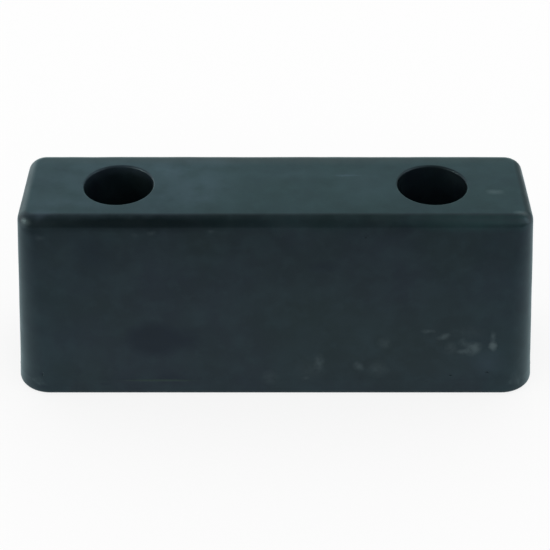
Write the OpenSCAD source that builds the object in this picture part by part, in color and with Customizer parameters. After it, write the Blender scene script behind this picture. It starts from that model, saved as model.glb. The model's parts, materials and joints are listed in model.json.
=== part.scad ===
// Trailer buffer: a solid block of moulded rubber that is bolted to the rear of a
// vehicle. It stands on its mounting face, with the two bolt pockets opening upwards.
// The origin is the middle of the mounting face, X runs along the length, Z is up.

/* [Body] */
// Length over the foot of the block
body_length = 250; // [240:1:400]
// Depth over the foot of the block
body_depth = 72; // [70:1:120]
// Height from the mounting face to the contact face
body_height = 97; // [80:1:105]
// Lean of all four sides towards the contact face, in degrees
draft_angle = 5; // [1:0.5:5.5]
// Plan radius of the upright corners, where a side would meet the contact face
corner_radius = 8; // [7:0.5:12]
// Rounding where the sides turn into the contact face
top_rounding = 5.5; // [2:0.5:7]
// Rounding at the foot of the sides
foot_rounding = 1.5; // [0.5:0.5:3]

/* [Bolt passages] */
// Distance between the centres of the two passages
passage_spacing = 145; // [100:1:150]
// Diameter of the pocket that takes the bolt head and its washer
pocket_diameter = 32; // [28:0.5:33]
// Depth of the pocket below the contact face
pocket_depth = 60; // [30:1:65]
// Diameter of the bolt hole below the pocket
bolt_hole_diameter = 18; // [11:0.5:20]
// Rounding of the pocket's mouth
mouth_rounding = 1; // [0.5:0.25:1.5]
// Rounding between the pocket's wall and its floor
floor_rounding = 2; // [0.5:0.5:3]

/* [Hidden] */
$fn = 96;

rubber_colour = "#262f33";
overcut = 1;
quarter_turn = 90;

// The corner axes lie on a grid this fine, so that the straight and the turned
// stretches of a side meet exactly
axis_grid = 0.01;

// An edge rounding stands this far proud of its side, too little to feel, so that
// the arc and the side cross at a clean edge
rounding_proud = 0.002;

// Centres of the two edge roundings, measured out from the axis of a corner
top_centre = [
    corner_radius + rounding_proud
        - top_rounding * (1 - sin(draft_angle)) / cos(draft_angle),
    body_height - top_rounding
];
foot_centre = [
    corner_radius + rounding_proud
        + ((body_height - foot_rounding) * sin(draft_angle) - foot_rounding) / cos(draft_angle),
    foot_rounding
];

// The upright axes that the four corners are turned about
foot_reach = foot_centre.x + foot_rounding;
corner_x = snapped(body_length / 2 - foot_reach);
corner_y = snapped(body_depth / 2 - foot_reach);

pocket_radius = pocket_diameter / 2;
pocket_floor = body_height - pocket_depth;

function snapped(size) = round(size / axis_grid) * axis_grid;

// The point on the leaning side that is nearest to a rounding's centre
function on_side(centre, radius) =
    centre - [rounding_proud, 0] + radius * [cos(draft_angle), sin(draft_angle)];

// Half of the block's upright section, from a corner axis out to the side
module edge_section() {
    polygon([
        [0, 0],
        [foot_centre.x, 0],
        on_side(foot_centre, foot_rounding),
        on_side(top_centre, top_rounding),
        [top_centre.x, body_height],
        [0, body_height]
    ]);
    translate(foot_centre)
        circle(foot_rounding);
    translate(top_centre)
        intersection() {
            circle(top_rounding);
            square(top_rounding);
        }
}

// The whole upright section, for corner axes at this distance from the middle
module full_section(reach) {
    for (side = [0, 1])
        mirror([side, 0])
            translate([reach, 0])
                edge_section();
    translate([-reach, 0])
        square([2 * reach, body_height]);
}

// The whole section drawn out to a span, centred on the middle of the block
module bar(reach, span) {
    rotate([quarter_turn, 0, 0])
        linear_extrude(span, center = true)
            full_section(reach);
}

// The block before it is bored: two crossed bars with a turned piece at each corner
module leaning_block() {
    bar(corner_x, 2 * corner_y);
    rotate(quarter_turn)
        bar(corner_y, 2 * corner_x);
    for (side_x = [0, 1], side_y = [0, 1])
        mirror([side_x, 0, 0])
            mirror([0, side_y, 0])
                translate([corner_x, corner_y, 0])
                    rotate_extrude(angle = quarter_turn)
                        edge_section();
}

// Half section of the room that a bolt, its washer and the spanner need
module passage_section() {
    // The bolt hole
    translate([0, -overcut])
        square([bolt_hole_diameter / 2, pocket_floor + 2 * overcut]);
    // The pocket, with a rounded foot
    translate([0, pocket_floor])
        square([pocket_radius - floor_rounding, pocket_depth + overcut]);
    translate([0, pocket_floor + floor_rounding])
        square([pocket_radius, pocket_depth - floor_rounding + overcut]);
    translate([pocket_radius - floor_rounding, pocket_floor + floor_rounding])
        circle(floor_rounding);
    // The flare that rounds the mouth
    difference() {
        translate([0, body_height - mouth_rounding])
            square([pocket_radius + mouth_rounding, mouth_rounding + overcut]);
        translate([pocket_radius + mouth_rounding, body_height - mouth_rounding])
            circle(mouth_rounding);
    }
}

module bolt_passages() {
    for (side = [-1, 1])
        translate([side * passage_spacing / 2, 0, 0])
            rotate_extrude()
                passage_section();
}

module buffer_block() {
    color(rubber_colour)
        difference() {
            leaning_block();
            bolt_passages();
        }
}

buffer_block();
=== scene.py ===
"""A moulded rubber trailer buffer, standing on a pale studio floor.

The block is shaped as by hand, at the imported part's size: an outline with round corners
is drawn up with a lean, its edges are rounded, its faces are given a slight wave, and two
stepped bolt passages and a few small pits are cut into it.
"""

import json
import math

import bpy
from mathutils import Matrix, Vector


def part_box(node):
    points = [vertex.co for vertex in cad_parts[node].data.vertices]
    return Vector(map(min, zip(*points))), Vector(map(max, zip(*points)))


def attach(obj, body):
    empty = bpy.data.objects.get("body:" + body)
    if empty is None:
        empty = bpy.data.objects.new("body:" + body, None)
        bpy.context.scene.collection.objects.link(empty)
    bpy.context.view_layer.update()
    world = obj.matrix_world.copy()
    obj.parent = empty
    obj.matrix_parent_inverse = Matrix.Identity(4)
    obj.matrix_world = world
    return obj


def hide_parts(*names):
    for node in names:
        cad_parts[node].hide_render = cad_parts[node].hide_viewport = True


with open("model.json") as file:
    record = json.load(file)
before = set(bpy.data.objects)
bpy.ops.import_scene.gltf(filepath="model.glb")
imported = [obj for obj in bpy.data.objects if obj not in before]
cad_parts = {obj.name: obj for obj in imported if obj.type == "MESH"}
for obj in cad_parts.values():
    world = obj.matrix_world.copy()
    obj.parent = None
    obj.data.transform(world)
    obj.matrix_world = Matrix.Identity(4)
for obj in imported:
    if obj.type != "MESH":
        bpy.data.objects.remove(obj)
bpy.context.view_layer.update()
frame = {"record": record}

MM = 0.001
QUARTER_TURN = math.pi / 2

# The block, in metres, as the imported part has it
top_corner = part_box("buffer_block")[1]
HALF_LENGTH = top_corner.x
HALF_DEPTH = top_corner.y
HEIGHT = top_corner.z
DRAFT = math.radians(5)
CORNER_RADIUS = 8 * MM
TOP_ROUNDING = 5.5 * MM
FOOT_ROUNDING = 1.5 * MM
MOUTH_ROUNDING = 1 * MM
FLOOR_ROUNDING = 2 * MM

# The bolt passages, as the record's mounts measure them
mounts = {mount["name"]: mount for mount in frame["record"]["mounts"]}
PASSAGE_OFFSET = mounts["bolt_hole_right"]["pos_m"][0]
BOLT_HOLE_RADIUS = mounts["bolt_hole_right"]["dims"]["r_mm"] * MM
POCKET_RADIUS = mounts["head_pocket_right"]["dims"]["r_mm"] * MM
POCKET_FLOOR = mounts["bolt_hole_right"]["dims"]["length_mm"] * MM

# The mesh: steps round a corner, an edge rounding and a passage, and the width of its grid
CORNER_STEPS = 20
EDGE_STEPS = 8
ROUND_STEPS = 96
GRID = 3 * MM
# How far a cutter runs past the block
OVERCUT = 2 * MM
# Points nearer than this count as one
CLOSE = 0.02 * MM
# Faces that meet at less than this are shaded as one smooth surface
SMOOTH_BELOW = math.radians(35)

# The parting line where the two halves of the mould met
PARTING_HEIGHT = 8 * MM
PARTING_HALF_WIDTH = 0.5 * MM
PARTING_PROUD = 0.08 * MM
# One stretch of it, low on the front, was trimmed less closely
FLASH_FROM = -74 * MM
FLASH_TO = -38 * MM
FLASH_PROUD = 0.12 * MM

# The slight wave of the faces, which fades out at the foot and round the bolt passages
WAVE_SPAN = 25 * MM
WAVE_DEPTH = 0.3 * MM
WAVE_FADE = 10 * MM
WAVE_CLEAR_OF_FOOT = 2 * MM
WAVE_CLEAR_OF_PASSAGE = 18 * MM

# Small pits in the front, in mm: along, up, half width, half height, depth
PITS = (
    (83.9, 11.1, 1.1, 0.35, 0.30),
    (101.1, 12.9, 1.1, 0.35, 0.30),
    (72.6, 8.1, 1.3, 0.65, 0.18),
    (-111.9, 12.0, 0.7, 1.30, 0.20),
    (40.5, 88.0, 0.9, 0.50, 0.30),
)
PIT_STEPS = 16
# How much of its radius the ball that cuts a pit sinks into the rubber
PIT_CAP = 0.4

# The camera, fitted to the outline of the block in the photograph
CAMERA_ELEVATION = math.radians(37.05)
CAMERA_DISTANCE = 694 * MM
CAMERA_TARGET = Vector((-0.2, 0, 44.7)) * MM
CAMERA_LENS = 93.8

# The studio, in metres: an even white room with a light table for a floor
WHITE = "#ffffff"
WHITE_STRENGTH = 1
FLOOR_SIZE = 40
FLOOR_CLOTH = "#fafafa"
# The floor lies a hair above the foot, so that the mounting face shows clean from below
FLOOR_LEVEL = 0.02 * MM
# How much of the floor that the camera or a reflection sees is its own light
FLOOR_GLOW = 0.8

# Cards that only reflections show, as a photographer places them round a black object. The
# front shows the tables, with a shade standing on the right one, and the contact face shows
# the back card. The front top edge shows the top cards and, below them, the front card on the
# left and the wall behind it on the right. The ends and their edges show the side cards, and
# the front corners show the glints. Each has a name, width and height, middle, the way it
# faces, colour and strength.
CARDS = (
    ("front_card", (1.03, 0.60), (-0.385, -0.22, 0.30), (0, 1, 0), "#b0ffff", 0.10),
    ("top_card", (1.02, 0.47), (-0.390, 0.015, 0.60), (0, 0, -1), "#d8fff4", 0.24),
    ("right_top_card", (0.80, 0.47), (0.52, 0.015, 0.60), (0, 0, -1), "#c8fff0", 1.0),
    ("left_card", (0.50, 0.50), (-0.76, -0.25, 0.35), (1, 0.3, 0), "#ffffff", 0.10),
    ("right_card", (0.70, 0.60), (0.69, 0.58, 0.30), (-1, -0.84, 0), "#d8ffff", 0.50),
    ("back_card", (1.60, 1.20), (0.0, 0.90, 0.60), (0, -1, 0), "#c7f8f9", 1.22),
    ("left_back_card", (0.50, 0.55), (-0.66, 0.60, 0.35), (1, -0.9, 0), "#e4ffff", 1.8),
    ("front_wall", (1.80, 1.40), (0, -0.90, 0.70), (0, 1, 0), "#e0fff4", 1.0),
    ("left_glint", (0.46, 0.26), (-0.67, -0.29, 0.30), (1, 0.35, -0.2), "#eaffee", 14.0),
    ("right_glint", (0.12, 0.70), (0.60, -0.10, 0.45), (-1, 0.17, 0), "#e2ffff", 3.8),
    ("left_table", (0.63, 0.80), (-0.415, 0, 0.001), (0, 0, 1), "#ddfaff", 1.0),
    ("right_table", (0.63, 0.80), (0.415, 0, 0.001), (0, 0, 1), "#ddfaff", 1.0),
    ("front_table", (0.20, 0.38), (0, -0.22, 0.001), (0, 0, 1), "#e8fbff", 0.94),
    ("right_shade", (0.40, 0.16), (0.33, -0.22, 0.08), (0, 1, 0), "#ffffff", 0.05),
)

# Colours of the rubber: bluish black, with greener and greyer patches
BLUE_BLACK = "#0e151c"
GREEN_BLACK = "#0a1815"
GREY_BLACK = "#162427"
# Colours of its marks
DEEP_BLACK = "#000411"
BLOOM = "#28343d"
# Chalk, and the painted highlight on the front left top corner
CHALK_AND_GLINT = "#3d484a"
FLASH = "#1f2c26"
DUST = "#38302c"
# Painted shade and painted reflection on the front top edge
EDGE_SHADE_BLACK = "#000b0f"
EDGE_SHINE_PALE = "#204543"
# The shine: clean rubber has an index of about 1.5, and this dull, slightly dusty skin gives
# back less light than that, and the blue of it best
RUBBER_IOR = 1.39
SHINE = "#dae7f9"

# Patterns of the rubber: patch size in mm, detail, the noise level where a patch starts and
# the one where it is full, and its strength there. Real moulded grain is about 0.2 mm, too
# fine to show here, so it is drawn at 1.2 mm.
PATTERNS = {
    # The greener and the greyer patches
    "hue": (45, 3, 0.40, 0.60, 0.6),
    "mottle": (14, 4, 0.42, 0.70, 0.5),
    "fleck": (6, 2, 0.48, 0.75, 0.5),
    # What breaks up the chalk, and what breaks up the bloom
    "speckle": (2.4, 1, 0.0, 0.60, 1.0),
    "cloudy": (11, 3, 0.20, 0.60, 1.0),
    # Where the satin is duller, and the grain
    "gloss": (9, 4, 0.30, 0.70, 1.0),
    "grain": (1.2, 2, 0.30, 0.70, 1.0),
}
GRAIN_DEPTH = 0.006 * MM
# Roughness of the satin, from its shiniest to its dullest, and of the chalk
SATIN = (0.32, 0.42)
CHALK_ROUGHNESS = 0.6
# The torn rims of the marks: how long and how deep a tear is, and how much detail it has
RAGGED_SIZE = 5 * MM
RAGGED_REACH = 3 * MM
RAGGED_DETAIL = 2
# The level that noise lies about
NOISE_MIDDLE = 0.5

# The two faces that carry marks, and how deep a mark reaches into either, in mm
FRONT = "front"
CONTACT_FACE = "contact face"
MARK_REACH = 5

# Soft marks on the front, in mm: along, up, half width, half height, turn in degrees, strength.
# The middle is greener, and two places low down are bluer
GREEN_MARKS = (
    (15.0, 45.0, 50.0, 60.0, 0, 1.0),
    (60.0, 30.0, 40.0, 30.0, 0, 0.6),
)
BLUE_MARKS = (
    (101.6, 18.0, 10.0, 9.0, 0, 0.45),
    (-88.0, 22.0, 30.0, 20.0, 0, 0.06),
)
# Chalky scuffs, most of them low on the right, and a few on the corners and the top edge.
# The one on the front left top corner is a painted highlight.
CHALK_AND_GLINT_MARKS = (
    (20.8, 18.4, 2.8, 6.0, -4, 0.53),
    (17.0, 15.0, 9.0, 9.0, 0, 0.16),
    (39.5, 16.4, 3.2, 3.6, 35, 0.57),
    (49.0, 14.6, 6.0, 6.0, 0, 0.33),
    (72.0, 36.4, 4.0, 1.6, 0, 0.62),
    (79.6, 33.6, 3.8, 2.2, 15, 0.70),
    (82.9, 26.7, 4.0, 4.0, 0, 0.37),
    (93.6, 26.6, 5.2, 4.6, 20, 0.90),
    (88.7, 24.8, 3.6, 2.0, 10, 0.57),
    (88.9, 29.8, 2.8, 2.8, 0, 0.41),
    (103.0, 27.6, 2.6, 3.2, 0, 1.7),
    (102.4, 32.6, 1.8, 5.0, 4, 0.60),
    (90.0, 35.6, 10.0, 4.0, 0, 0.16),
    (51.5, 29.6, 4.0, 4.0, 0, 0.33),
    (-2.8, 9.9, 5.0, 5.0, 0, 0.29),
    (14.4, 9.3, 2.4, 1.8, 0, 0.37),
    (116.0, 8.0, 4.0, 5.0, 20, 0.41),
    (-114.0, 7.0, 4.0, 3.0, -20, 0.33),
    (-55.4, 89.9, 2.4, 1.6, 0, 0.25),
    (-63.6, 88.3, 2.0, 1.4, 0, 0.2),
    (-29.3, 89.9, 2.2, 1.4, 0, 0.2),
    (-106.1, 86.8, 2.4, 1.8, 0, 0.2),
    (117.3, 5.2, 1.0, 3.2, 0, 0.8),
    (112.9, 6.6, 1.2, 2.0, 0, 0.25),
    (-112.7, 5.9, 4.0, 0.9, 0, 0.25),
    (-116.6, 6.8, 1.4, 1.4, 0, 0.35),
    # Painted highlight on the front left top corner, where the glint falls
    (-114.0, 94.2, 3.0, 4.0, 0, 0.9),
)
# Where the parting line was trimmed less closely it is paler
FLASH_MARKS = ((-56.0, 8.1, 22.0, 0.8, 0, 1.5),)
# The dark blotch, which takes the first two, fainter dark places and specks, and painted
# shade at a pit low on the left and at the two front corners by the foot
DARK_AND_SHADE_MARKS = (
    (-57.5, 31.5, 16.0, 12.0, 0, 2.2),
    (-41.0, 32.0, 9.0, 9.0, 0, 0.9),
    (21.5, 72.0, 9.0, 4.0, 0, 0.7),
    (-83.0, 77.0, 15.0, 15.0, 0, 0.5),
    (-81.8, 6.1, 4.0, 1.4, 0, 0.6),
    (-50.4, 8.9, 6.5, 4.5, 0, 0.5),
    # Painted shade at the pit low on the left
    (-111.9, 12.0, 1.6, 2.6, 0, 0.5),
    (-94.3, 13.4, 5.5, 2.2, 0, 0.2),
    # Painted shade at the two front corners by the foot, in the five below
    (-112.6, 4.2, 5.0, 1.4, 0, 0.5),
    (-114.6, 7.2, 2.0, 1.2, 0, 0.4),
    (115.2, 6.8, 1.9, 1.9, 0, 0.7),
    (119.3, 4.6, 1.3, 1.7, 0, 1.6),
    (112.6, 4.5, 2.4, 0.8, 0, 0.35),
)
# Painted shade and painted reflection: the front top edge is painted near black on the left
# and paler on the right
EDGE_PAINTED_SHADE_MARKS = (
    (-62.0, 94.5, 62.0, 5.5, 0, 1.6),
    (-111.0, 90.3, 10.0, 2.8, 0, 1.1),
)
EDGE_PAINTED_SHINE_MARKS = (
    (95.0, 94.5, 48.0, 5.5, 0, 0.30),
    (15.0, 94.5, 60.0, 5.5, 0, 0.08),
)
# A pit looks darker than the rubber round it, out to twice its size
PIT_SHADE_REACH = 2
PIT_SHADE = 0.12
PIT_MARKS = tuple(
    (along, up, PIT_SHADE_REACH * half_width, PIT_SHADE_REACH * half_height, 0, PIT_SHADE)
    for along, up, half_width, half_height, _ in PITS
)
# Soft marks on the contact face, in mm: along, back, half length, half depth, turn, strength.
# A pale bluish bloom lies over most of its left, and in streaks and patches on the right.
BLOOM_MARKS = (
    (-80.0, 5.0, 80.0, 60.0, 0, 0.75),
    (-48.0, 12.0, 22.0, 9.0, 0, 0.6),
    (-34.0, 0.0, 20.0, 14.0, 0, 0.7),
    (-40.0, -12.0, 26.0, 7.0, 0, 0.5),
    (-95.0, -15.0, 22.0, 5.0, 0, 0.5),
    (-108.0, -23.0, 14.0, 4.0, 0, 0.7),
    (34.0, 8.1, 7.0, 1.0, 0, 1.2),
    (12.0, 9.0, 45.0, 5.0, 0, 0.25),
    (42.0, 0.0, 18.0, 18.0, 0, 0.4),
    (-34.0, 20.0, 32.0, 6.0, 0, 0.7),
)
# Two pale spots on it, beside the right pocket and at the right front corner
PALE_SPOT_MARKS = (
    (100.7, -5.6, 5.2, 2.6, 0, 0.75),
    (111.6, -22.6, 4.6, 1.9, -8, 0.9),
)
# Faint warm dust along the back edge of the contact face
DUST_MARKS = ((0.0, 23.5, 170.0, 7.0, 0, 0.5),)

# The curve of sRGB: a straight foot, then a power of the share of full level
FULL_LEVEL = 255
CURVE_FOOT = 0.04045
CURVE_FOOT_SLOPE = 12.92
CURVE_OFFSET = 0.055
CURVE_POWER = 2.4

# Places of a Mix node's sockets for colours, whose names its sockets for plain numbers share
MIX_UNDER = 6
MIX_OVER = 7
MIX_RESULT = 2


def select_where(mesh_object, test, kind="EDGE"):
    """In edit mode, select just the vertices or the edges that lie where the test says."""
    bpy.ops.mesh.select_all(action="DESELECT")
    bpy.ops.mesh.select_mode(type=kind)
    bpy.ops.object.mode_set(mode="OBJECT")
    mesh = mesh_object.data
    if kind == "VERT":
        for vertex in mesh.vertices:
            vertex.select = test(vertex.co)
    else:
        for edge in mesh.edges:
            edge.select = all(test(mesh.vertices[i].co) for i in edge.vertices)
    bpy.ops.object.mode_set(mode="EDIT")


def steps_between(start, end, step):
    """Evenly spaced values from start to end, about a step apart."""
    count = max(1, round((end - start) / step))
    return [start + (end - start) * i / count for i in range(count + 1)]


def draw_up_block():
    """The block before it is bored, from its outline on the floor upwards."""
    lean = HEIGHT * math.tan(DRAFT)
    # How far each rounding reaches from the sharp edge that it takes away
    foot_tangent = FOOT_ROUNDING * math.tan((QUARTER_TURN + DRAFT) / 2)
    top_tangent = TOP_ROUNDING * math.tan((QUARTER_TURN - DRAFT) / 2)
    # The outline of the foot before it is rounded
    sharp_length = HALF_LENGTH + foot_tangent - FOOT_ROUNDING
    sharp_depth = HALF_DEPTH + foot_tangent - FOOT_ROUNDING
    foot_radius = CORNER_RADIUS + lean
    bpy.ops.mesh.primitive_plane_add(size=1, enter_editmode=True)
    block = bpy.context.object
    block.name = "rubber_block"
    bpy.ops.transform.resize(value=(2 * sharp_length, 2 * sharp_depth, 1))
    bpy.ops.mesh.bevel(
        offset=foot_radius, segments=CORNER_STEPS, affect="VERTICES", clamp_overlap=False
    )
    bpy.ops.mesh.inset(thickness=lean, depth=HEIGHT, use_even_offset=True)
    select_where(block, lambda co: co.z < CLOSE)
    bpy.ops.mesh.edge_face_add()
    bpy.ops.mesh.select_all(action="SELECT")
    bpy.ops.mesh.normals_make_consistent(inside=False)
    select_where(block, lambda co: co.z > HEIGHT - CLOSE)
    bpy.ops.mesh.bevel(
        offset=top_tangent, segments=EDGE_STEPS, affect="EDGES", clamp_overlap=False
    )
    select_where(block, lambda co: co.z < CLOSE)
    bpy.ops.mesh.bevel(
        offset=foot_tangent, segments=EDGE_STEPS // 2, affect="EDGES", clamp_overlap=False
    )
    grid_lines(block, sharp_length - foot_radius, sharp_depth - foot_radius)
    bpy.ops.object.mode_set(mode="OBJECT")
    return block


def grid_lines(block, axis_x, axis_y):
    """Cuts the straight stretches into a fine grid, which can take a slight wave, and cuts the
    three rings of the parting line. The axes are those that the corners turn about."""
    cuts = [((x, 0, 0), (1, 0, 0)) for x in steps_between(-axis_x, axis_x, GRID)[1:-1]]
    cuts += [((0, y, 0), (0, 1, 0)) for y in steps_between(-axis_y, axis_y, GRID)[1:-1]]
    side_foot = FOOT_ROUNDING * (1 + math.sin(DRAFT))
    side_top = HEIGHT - TOP_ROUNDING * (1 - math.sin(DRAFT))
    ridge_foot = PARTING_HEIGHT - PARTING_HALF_WIDTH
    ridge_top = PARTING_HEIGHT + PARTING_HALF_WIDTH
    heights = steps_between(side_foot, ridge_foot, GRID)[1:] + [PARTING_HEIGHT, ridge_top]
    heights += steps_between(ridge_top, side_top, GRID)[1:-1]
    cuts += [((0, 0, z), (0, 0, 1)) for z in heights]
    for point, normal in cuts:
        bpy.ops.mesh.select_all(action="SELECT")
        bpy.ops.mesh.bisect(plane_co=point, plane_no=normal)


def raise_parting_line(block):
    """Draws the ring of vertices at the parting line out into a low ridge, and one stretch of
    it on the front a little further."""
    near = PARTING_HALF_WIDTH / 2

    def on_ridge(co):
        return abs(co.z - PARTING_HEIGHT) < near

    def on_flash(co):
        return on_ridge(co) and FLASH_FROM < co.x < FLASH_TO and co.y < 0

    bpy.ops.object.mode_set(mode="EDIT")
    select_where(block, on_ridge, "VERT")
    bpy.ops.transform.shrink_fatten(value=PARTING_PROUD)
    select_where(block, on_flash, "VERT")
    bpy.ops.transform.shrink_fatten(value=FLASH_PROUD)
    bpy.ops.object.mode_set(mode="OBJECT")


def wave_share(place):
    """How much of the wave a place takes, from 0 to 1."""
    above_foot = place.z - WAVE_CLEAR_OF_FOOT
    off_passage = math.hypot(abs(place.x) - PASSAGE_OFFSET, place.y) - WAVE_CLEAR_OF_PASSAGE
    return max(0, min(WAVE_FADE, above_foot, off_passage)) / WAVE_FADE


def wave_faces(block):
    """Lets the faces sink by a slight wave, as thick rubber does when it cools."""
    group = block.vertex_groups.new(name="waved")
    for vertex in block.data.vertices:
        group.add([vertex.index], wave_share(vertex.co), "REPLACE")
    cloud = bpy.data.textures.new("slight_wave", "CLOUDS")
    cloud.noise_scale = WAVE_SPAN
    wave = block.modifiers.new("wave", "DISPLACE")
    wave.texture = cloud
    wave.texture_coords = "LOCAL"
    wave.vertex_group = group.name
    # With its middle at the cloud's highest level, the wave only sinks
    wave.mid_level = 1
    wave.strength = WAVE_DEPTH
    bpy.ops.object.modifier_apply(modifier=wave.name)
    block.vertex_groups.clear()


def quarter_round(centre, radius, start):
    """Points of a quarter circle, as (out from the axis, height), turning anticlockwise."""
    turns = [start + QUARTER_TURN * i / EDGE_STEPS for i in range(EDGE_STEPS + 1)]
    return [(centre[0] + radius * math.cos(a), centre[1] + radius * math.sin(a)) for a in turns]


def passage_profile():
    """Half section of a bolt passage, from under the foot to above the mouth."""
    floor_centre = (POCKET_RADIUS - FLOOR_ROUNDING, POCKET_FLOOR + FLOOR_ROUNDING)
    mouth_centre = (POCKET_RADIUS + MOUTH_ROUNDING, HEIGHT - MOUTH_ROUNDING)
    hole = [(BOLT_HOLE_RADIUS, -OVERCUT), (BOLT_HOLE_RADIUS, POCKET_FLOOR)]
    foot = quarter_round(floor_centre, FLOOR_ROUNDING, -QUARTER_TURN)
    mouth = quarter_round(mouth_centre, MOUTH_ROUNDING, QUARTER_TURN)[::-1]
    return hole + foot + mouth + [(mouth_centre[0], HEIGHT + OVERCUT)]


def passage_cutter(x):
    """The room of one bolt passage, a disc drawn up ring by ring through its section."""
    profile = passage_profile()
    bpy.ops.mesh.primitive_circle_add(
        vertices=ROUND_STEPS, radius=profile[0][0], fill_type="NGON", enter_editmode=True
    )
    cutter = bpy.context.object
    bpy.ops.transform.translate(value=(x, 0, profile[0][1]))
    for (reach, height), (next_reach, next_height) in zip(profile, profile[1:]):
        bpy.ops.mesh.extrude_region_move(
            TRANSFORM_OT_translate={"value": (0, 0, next_height - height)}
        )
        widen = next_reach / reach
        bpy.ops.transform.resize(value=(widen, widen, 1), center_override=(x, 0, 0))
    bpy.ops.mesh.select_all(action="SELECT")
    bpy.ops.mesh.normals_make_consistent(inside=False)
    bpy.ops.object.mode_set(mode="OBJECT")
    return cutter


def cut_away(block, cutter):
    """Takes the cutter's room out of the block."""
    cut = block.modifiers.new("cut", "BOOLEAN")
    cut.operation = "DIFFERENCE"
    cut.solver = "EXACT"
    cut.object = cutter
    bpy.context.view_layer.objects.active = block
    bpy.ops.object.modifier_apply(modifier=cut.name)
    bpy.data.objects.remove(cutter)
    bpy.ops.object.select_all(action="DESELECT")
    block.select_set(True)
    bpy.ops.object.mode_set(mode="EDIT")
    bpy.ops.mesh.select_all(action="SELECT")
    bpy.ops.mesh.remove_doubles(threshold=CLOSE)
    bpy.ops.object.mode_set(mode="OBJECT")


def pit_cutter(block):
    """Flattened balls that sink a little way into the front of the block."""
    bpy.context.view_layer.update()
    # The radius of a ball's cap where it meets the front, for a ball of radius 1
    rim = math.sqrt(1 - (1 - PIT_CAP) ** 2)
    balls = []
    for along, up, half_width, half_height, depth in PITS:
        surface = block.closest_point_on_mesh((along * MM, -HALF_DEPTH, up * MM))[1]
        radius_y = depth * MM / PIT_CAP
        bpy.ops.mesh.primitive_uv_sphere_add(
            segments=PIT_STEPS,
            ring_count=PIT_STEPS // 2,
            radius=1,
            location=surface - Vector((0, radius_y - depth * MM, 0)),
            scale=(half_width * MM / rim, radius_y, half_height * MM / rim),
        )
        balls.append(bpy.context.object)
    for ball in balls:
        ball.select_set(True)
    bpy.ops.object.join()
    return bpy.context.object


def smooth_block(block):
    """Smooth shading that keeps flat faces flat and sharp edges sharp."""
    bpy.ops.object.shade_smooth_by_angle(angle=SMOOTH_BELOW)
    weighted = block.modifiers.new("flat_faces", "WEIGHTED_NORMAL")
    weighted.keep_sharp = True
    bpy.ops.object.modifier_apply(modifier=weighted.name)


def build_block():
    """The whole block, in one piece."""
    bpy.ops.object.select_all(action="DESELECT")
    block = draw_up_block()
    raise_parting_line(block)
    wave_faces(block)
    for side in (-1, 1):
        cut_away(block, passage_cutter(side * PASSAGE_OFFSET))
    cut_away(block, pit_cutter(block))
    smooth_block(block)
    return block


def linear(hex_colour):
    """A #rrggbb colour as linear red, green and blue, with full alpha."""
    shares = [level / FULL_LEVEL for level in bytes.fromhex(hex_colour[1:])]
    return [
        share / CURVE_FOOT_SLOPE
        if share <= CURVE_FOOT
        else ((share + CURVE_OFFSET) / (1 + CURVE_OFFSET)) ** CURVE_POWER
        for share in shares
    ] + [1]


def add_node(tree, kind, inputs=None, **settings):
    """Adds a shader node. Each input is a value, or another node's output to link, and goes by
    its name, or by its place where several inputs share a name."""
    node = tree.nodes.new(kind)
    for name, value in settings.items():
        setattr(node, name, value)
    for name, value in (inputs or {}).items():
        if isinstance(value, bpy.types.NodeSocket):
            tree.links.new(value, node.inputs[name])
        else:
            node.inputs[name].default_value = value
    return node


def soft_marks(tree, point, marks, face):
    """The sum of soft oval marks on a face. Each has its strength at the middle and fades out
    to nothing at its rim."""
    total = 0
    for along, across, half_length, half_height, turn, strength in marks:
        if face == FRONT:
            # The front leans back by this much at the mark's height
            lean = across * math.tan(DRAFT)
            place = (along, lean - HALF_DEPTH / MM, across)
            size = (half_length, MARK_REACH, half_height)
            turned = (0, math.radians(-turn), 0)
        else:
            place = (along, across, HEIGHT / MM)
            size = (half_length, half_height, MARK_REACH)
            turned = (0, 0, math.radians(turn))
        own_frame = add_node(
            tree,
            "ShaderNodeMapping",
            {
                "Vector": point,
                "Location": [c * MM for c in place],
                "Rotation": turned,
                "Scale": [c * MM for c in size],
            },
            vector_type="TEXTURE",
        )
        spot = add_node(
            tree,
            "ShaderNodeTexGradient",
            {"Vector": own_frame.outputs["Vector"]},
            gradient_type="SPHERICAL",
        )
        total = add_node(
            tree,
            "ShaderNodeMath",
            {0: spot.outputs["Fac"], 1: strength, 2: total},
            operation="MULTIPLY_ADD",
        ).outputs[0]
    return total


def noise_patterns(tree, point):
    """Every pattern in PATTERNS, by name, each from 0 to its strength."""
    patterns = {}
    for name, (size, detail, start, full, strength) in PATTERNS.items():
        cloud = add_node(
            tree,
            "ShaderNodeTexNoise",
            {"Vector": point, "Scale": 1 / (size * MM), "Detail": detail},
        )
        level = add_node(
            tree,
            "ShaderNodeMapRange",
            {
                "Value": cloud.outputs["Fac"],
                "From Min": start,
                "From Max": full,
                "To Max": strength,
            },
        )
        patterns[name] = level.outputs["Result"]
    return patterns


def ragged_place(tree, point):
    """The place on the block, shifted a little here and there, so that marks get torn rims."""
    cloud = add_node(
        tree,
        "ShaderNodeTexNoise",
        {"Vector": point, "Scale": 1 / RAGGED_SIZE, "Detail": RAGGED_DETAIL},
    )
    shift = add_node(
        tree,
        "ShaderNodeVectorMath",
        {0: cloud.outputs["Color"], 1: [NOISE_MIDDLE] * 3},
        operation="SUBTRACT",
    )
    return add_node(
        tree,
        "ShaderNodeVectorMath",
        {0: shift.outputs["Vector"], 1: [RAGGED_REACH] * 3, 2: point},
        operation="MULTIPLY_ADD",
    ).outputs["Vector"]


def broken_up(tree, marks, pattern):
    """Marks that show only as far as a pattern lets them, and never more than fully."""
    return add_node(
        tree, "ShaderNodeMath", {0: marks, 1: pattern}, operation="MULTIPLY", use_clamp=True
    ).outputs[0]


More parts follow.
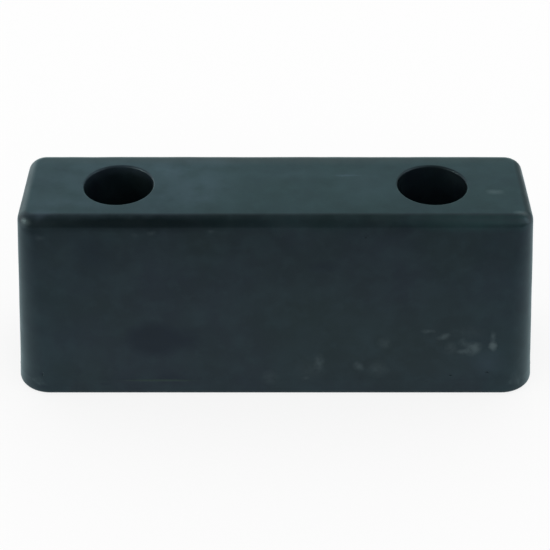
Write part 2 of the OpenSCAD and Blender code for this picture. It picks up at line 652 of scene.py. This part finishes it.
def rubber_material():
    """Black rubber, compression moulded: a satin skin, cool in tone and faintly mottled, with a
    very fine grain from the mould. Its contact face has a pale bloom with two pale spots in it
    and faint dust along the back. Its front top edge carries painted shade, near black on the
    left, and a paler painted reflection on the right. Its front has a dark blotch and chalky
    scuffs low down, painted shade at a pit and at the two corners by the foot, and a painted
    highlight on the front left top corner."""
    material = bpy.data.materials.new("moulded_black_rubber")
    material.use_nodes = True
    tree = material.node_tree
    shader = tree.nodes["Principled BSDF"]
    shader.inputs["IOR"].default_value = RUBBER_IOR
    shader.inputs["Specular Tint"].default_value = linear(SHINE)
    point = add_node(tree, "ShaderNodeTexCoord").outputs["Object"]
    ragged = ragged_place(tree, point)
    patterns = noise_patterns(tree, point)
    # Chalky scuffs, and the painted highlight on the front left top corner
    scuffs_and_glint = soft_marks(tree, ragged, CHALK_AND_GLINT_MARKS, FRONT)
    chalk_and_glint = broken_up(tree, scuffs_and_glint, patterns["speckle"])
    clouds = soft_marks(tree, ragged, BLOOM_MARKS, CONTACT_FACE)
    bloom = broken_up(tree, clouds, patterns["cloudy"])
    # Each layer is laid over those before it
    colour = linear(BLUE_BLACK)
    for share, layer in (
        (patterns["hue"], GREEN_BLACK),
        (soft_marks(tree, ragged, GREEN_MARKS, FRONT), GREEN_BLACK),
        (patterns["mottle"], GREY_BLACK),
        (patterns["fleck"], GREY_BLACK),
        # Dark marks, with painted shade at a pit and at the corners by the foot
        (soft_marks(tree, ragged, DARK_AND_SHADE_MARKS, FRONT), DEEP_BLACK),
        (soft_marks(tree, ragged, BLUE_MARKS, FRONT), BLOOM),
        (soft_marks(tree, point, PIT_MARKS, FRONT), DEEP_BLACK),
        (bloom, BLOOM),
        # Painted shade and painted reflection on the front top edge
        (soft_marks(tree, ragged, EDGE_PAINTED_SHADE_MARKS, FRONT), EDGE_SHADE_BLACK),
        (soft_marks(tree, ragged, EDGE_PAINTED_SHINE_MARKS, FRONT), EDGE_SHINE_PALE),
        (soft_marks(tree, ragged, PALE_SPOT_MARKS, CONTACT_FACE), CHALK_AND_GLINT),
        (soft_marks(tree, ragged, DUST_MARKS, CONTACT_FACE), DUST),
        (soft_marks(tree, point, FLASH_MARKS, FRONT), FLASH),
        # Chalk, with the painted highlight on the front left top corner
        (chalk_and_glint, CHALK_AND_GLINT),
    ):
        colour = add_node(
            tree,
            "ShaderNodeMix",
            {"Factor": share, MIX_UNDER: colour, MIX_OVER: linear(layer)},
            data_type="RGBA",
        ).outputs[MIX_RESULT]
    tree.links.new(colour, shader.inputs["Base Color"])
    satin = add_node(
        tree,
        "ShaderNodeMapRange",
        {"Value": patterns["gloss"], "To Min": SATIN[0], "To Max": SATIN[1]},
    )
    roughness = add_node(
        tree,
        "ShaderNodeMix",
        {"Factor": chalk_and_glint, "A": satin.outputs["Result"], "B": CHALK_ROUGHNESS},
    )
    tree.links.new(roughness.outputs["Result"], shader.inputs["Roughness"])
    bump = add_node(tree, "ShaderNodeBump", {"Height": patterns["grain"], "Distance": GRAIN_DEPTH})
    tree.links.new(bump.outputs["Normal"], shader.inputs["Normal"])
    return material


def build_floor():
    """A pale light table: it glows a little from below, and keeps the block's soft shadow."""
    bpy.ops.object.select_all(action="DESELECT")
    bpy.ops.mesh.primitive_plane_add(size=FLOOR_SIZE, location=(0, 0, FLOOR_LEVEL))
    floor = bpy.context.object
    floor.name = "floor"
    material = bpy.data.materials.new("pale_light_table")
    material.use_nodes = True
    tree = material.node_tree
    tree.nodes.clear()
    path = add_node(tree, "ShaderNodeLightPath")
    camera_or_glossy = add_node(
        tree,
        "ShaderNodeMath",
        {0: path.outputs["Is Camera Ray"], 1: path.outputs["Is Glossy Ray"]},
        operation="ADD",
    )
    seen = add_node(
        tree,
        "ShaderNodeMath",
        {0: camera_or_glossy.outputs[0], 1: path.outputs["Is Transmission Ray"]},
        operation="ADD",
    )
    share = add_node(
        tree, "ShaderNodeMath", {0: seen.outputs[0], 1: FLOOR_GLOW}, operation="MULTIPLY"
    )
    cloth = add_node(tree, "ShaderNodeBsdfDiffuse", {"Color": linear(FLOOR_CLOTH)})
    glow = add_node(
        tree, "ShaderNodeEmission", {"Color": linear(WHITE), "Strength": WHITE_STRENGTH}
    )
    surface = add_node(
        tree, "ShaderNodeMixShader", {0: share.outputs[0], 1: cloth.outputs[0], 2: glow.outputs[0]}
    )
    add_node(tree, "ShaderNodeOutputMaterial", {"Surface": surface.outputs[0]})
    floor.data.materials.append(material)


def build_world():
    """An even white studio all round."""
    world = bpy.data.worlds.new("studio")
    bpy.context.scene.world = world
    world.use_nodes = True
    background = world.node_tree.nodes["Background"]
    background.inputs["Color"].default_value = linear(WHITE)
    background.inputs["Strength"].default_value = WHITE_STRENGTH


def build_card(name, size, place, facing, colour, strength):
    """A card that only reflections show, as a photographer hangs one to shape a shine."""
    bpy.ops.object.select_all(action="DESELECT")
    bpy.ops.mesh.primitive_plane_add(size=1, location=place)
    card = bpy.context.object
    card.name = name
    card.rotation_euler = Vector(facing).to_track_quat("Z", "Y").to_euler()
    card.scale = (*size, 1)
    card.visible_camera = False
    card.visible_diffuse = False
    card.visible_shadow = False
    material = bpy.data.materials.new(name)
    material.use_nodes = True
    tree = material.node_tree
    tree.nodes.clear()
    paper = add_node(tree, "ShaderNodeEmission", {"Color": linear(colour), "Strength": strength})
    add_node(tree, "ShaderNodeOutputMaterial", {"Surface": paper.outputs[0]})
    card.data.materials.append(material)


def build_camera():
    """Looks at the block from the front and above, as the photograph does."""
    camera_data = bpy.data.cameras.new("camera")
    camera_data.lens = CAMERA_LENS
    camera = bpy.data.objects.new("camera", camera_data)
    bpy.context.scene.collection.objects.link(camera)
    back = Vector((0, -math.cos(CAMERA_ELEVATION), math.sin(CAMERA_ELEVATION)))
    camera.location = CAMERA_TARGET + CAMERA_DISTANCE * back
    camera.rotation_euler = (QUARTER_TURN - CAMERA_ELEVATION, 0, 0)
    bpy.context.scene.camera = camera


build_camera()
build_world()
block = build_block()
block.data.materials.clear()
block.data.materials.append(rubber_material())
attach(block, "root")
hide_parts("buffer_block")
build_floor()
for card in CARDS:
    build_card(*card)

bpy.context.scene.view_settings.view_transform = "Standard"
